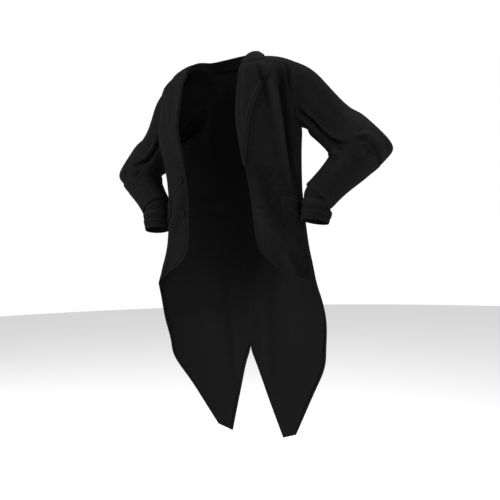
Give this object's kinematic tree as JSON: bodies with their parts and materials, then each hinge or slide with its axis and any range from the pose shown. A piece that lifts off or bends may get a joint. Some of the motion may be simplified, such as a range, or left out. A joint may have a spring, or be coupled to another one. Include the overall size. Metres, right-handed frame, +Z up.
{
  "type": "tailcoat",
  "caption": "Black evening tailcoat worn open, hollow, arms akimbo: notch lapels, cutaway fronts with flap pockets, long split tails pointed at the ends, lined back.",
  "frame": {"origin": "middle of the neck, level with the neck ends of the shoulder seams, where the wearer holds the coat up", "axes": "+Z up, -Y the way the wearer faces, +X to the wearer's left"},
  "size_m": [0.866, 0.2566, 1.1185],
  "materials": {
    "black_wool": "matte, slightly mottled wool cloth",
    "black_lining": "dull satin-weave lining",
    "black_horn": "dull horn or resin"
  },
  "bodies": {
    "root": {"forepart_left": "black_wool", "forepart_right": "black_wool", "back_left": "black_wool", "back_right": "black_wool", "lapel_left": "black_wool", "lapel_right": "black_wool", "top_sleeve_left": "black_wool", "top_sleeve_right": "black_wool", "under_sleeve_left": "black_wool", "under_sleeve_right": "black_wool", "cuff_left": "black_wool", "cuff_right": "black_wool", "cuff_band_left": "black_wool", "cuff_band_right": "black_wool", "pocket_flap_left": "black_wool", "pocket_flap_right": "black_wool", "pocket_welt_left": "black_wool", "pocket_welt_right": "black_wool", "collar": "black_wool", "back_lining_left": "black_lining", "back_lining_right": "black_lining", "button_1": "black_horn", "button_2": "black_horn"}
  },
  "joints": []
}
